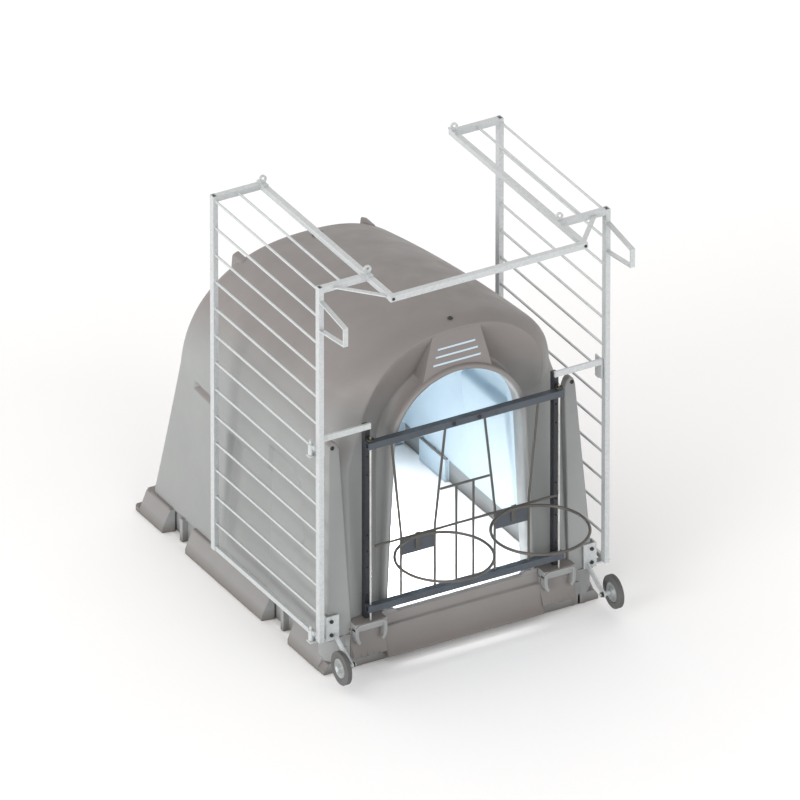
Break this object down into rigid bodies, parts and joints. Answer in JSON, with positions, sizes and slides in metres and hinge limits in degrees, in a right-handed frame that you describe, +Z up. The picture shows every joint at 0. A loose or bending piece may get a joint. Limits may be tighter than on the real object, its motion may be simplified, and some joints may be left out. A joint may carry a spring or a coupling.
{
  "type": "calf hutch with fence cage",
  "caption": "Moulded animal hutch with an arched doorway, a swinging feed gate with bucket rings, a tubular lift-off fence cage with lifting eyes, and front transport wheels.",
  "frame": {"origin": "on the ground, in the middle of the whole object's box", "axes": "+X to the right across the front, +Y from the front to the back, +Z up"},
  "size_m": [1.304, 1.9, 1.731],
  "materials": {
    "shell_plastic": "satin moulded polyethylene",
    "dark_plastic": "matte",
    "slate_steel": "dark satin coating",
    "dark_bar": "dark satin coating",
    "yellow_zinc": "yellow passivated zinc",
    "bright_rod": "bright zinc",
    "tyre": "matte rubber",
    "hub_metal": "satin",
    "fastener_steel": "zinc plated, weathered",
    "galvanised": "hot-dip galvanised"
  },
  "bodies": {
    "hutch": {"hutch_shell": "shell_plastic", "hutch_base": "shell_plastic", "roof_plug": "dark_plastic", "post_caps": "dark_plastic", "eye_bolts": "yellow_zinc", "cage_pins": "galvanised", "bracket_bolts": "fastener_steel", "axle_nuts": "fastener_steel", "axle_spacers": "fastener_steel", "gate_post_left": "slate_steel", "gate_post_right": "slate_steel", "top_arm_left": "galvanised", "top_arm_right": "galvanised", "upper_bracket_left": "galvanised", "upper_bracket_right": "galvanised", "lower_bracket_left": "galvanised", "lower_bracket_right": "galvanised", "wheel_arm_left": "galvanised", "wheel_arm_right": "galvanised", "wheel_axle_left": "fastener_steel", "wheel_axle_right": "fastener_steel"},
    "gate": {"gate_top_rail": "slate_steel", "gate_bottom_rail": "slate_steel", "gate_outer_bars": "dark_bar", "gate_inner_bars": "dark_bar", "gate_centre_bars": "dark_bar", "gate_long_bar": "dark_bar", "gate_short_bar": "dark_bar", "bucket_plate_left": "slate_steel", "bucket_plate_right": "slate_steel"},
    "hinge_rod": {"hinge_rod": "bright_rod"},
    "lock_rod": {"lock_rod": "bright_rod"},
    "bucket_ring_left": {"bucket_ring_left": "dark_bar", "ring_hook_left": "dark_bar"},
    "bucket_ring_right": {"bucket_ring_right": "dark_bar", "ring_hook_right": "dark_bar"},
    "cage": {"cross_bar": "galvanised", "cross_bar_bolts": "fastener_steel", "ladder_rods": "galvanised", "corner_braces": "galvanised", "fence_front_post_left": "galvanised", "fence_front_post_right": "galvanised", "fence_rear_post_left": "galvanised", "fence_rear_post_right": "galvanised", "roof_arms_left": "galvanised", "roof_arms_right": "galvanised", "lifting_eyes_left": "galvanised", "lifting_eyes_right": "galvanised", "fence_rods_left": "galvanised", "fence_rods_right": "galvanised", "fence_foot_rail_left": "galvanised", "fence_foot_rail_right": "galvanised", "long_member_left": "galvanised", "long_member_right": "galvanised", "bow_handle_left": "galvanised", "bow_handle_right": "galvanised"},
    "wheel_left": {"wheel_tyre_left": "tyre", "wheel_hub_left": "hub_metal"},
    "wheel_right": {"wheel_tyre_right": "tyre", "wheel_hub_right": "hub_metal"}
  },
  "joints": [
    {"name": "gate_hinge", "type": "hinge", "parent": "hutch", "child": "gate", "pos_m": [0.409, -0.5455, 0.6], "axis": [0, 0, 1], "range_deg": [0, 90]},
    {"name": "hinge_rod_lift", "type": "slide", "parent": "gate", "child": "hinge_rod", "axis": [0, 0, 1], "range_m": [0, 0.05]},
    {"name": "lock_rod_slide", "type": "slide", "parent": "gate", "child": "lock_rod", "axis": [0, 0, 1], "range_m": [-0.015, 0.05]},
    {"name": "cage_lift", "type": "slide", "parent": "hutch", "child": "cage", "axis": [0, 0, 1], "range_m": [0, 0.08]},
    {"name": "bucket_ring_fold_left", "type": "hinge", "parent": "gate", "child": "bucket_ring_left", "pos_m": [-0.208, -0.5555, 0.5255], "axis": [-1, 0, 0], "range_deg": [0, 85]},
    {"name": "bucket_ring_fold_right", "type": "hinge", "parent": "gate", "child": "bucket_ring_right", "pos_m": [0.208, -0.5555, 0.5255], "axis": [-1, 0, 0], "range_deg": [0, 85]},
    {"name": "wheel_spin_left", "type": "hinge", "parent": "hutch", "child": "wheel_left", "pos_m": [-0.5915, -0.6465, 0.0955], "axis": [1, 0, 0], "continuous": true},
    {"name": "wheel_spin_right", "type": "hinge", "parent": "hutch", "child": "wheel_right", "pos_m": [0.5915, -0.6465, 0.0955], "axis": [1, 0, 0], "continuous": true}
  ]
}
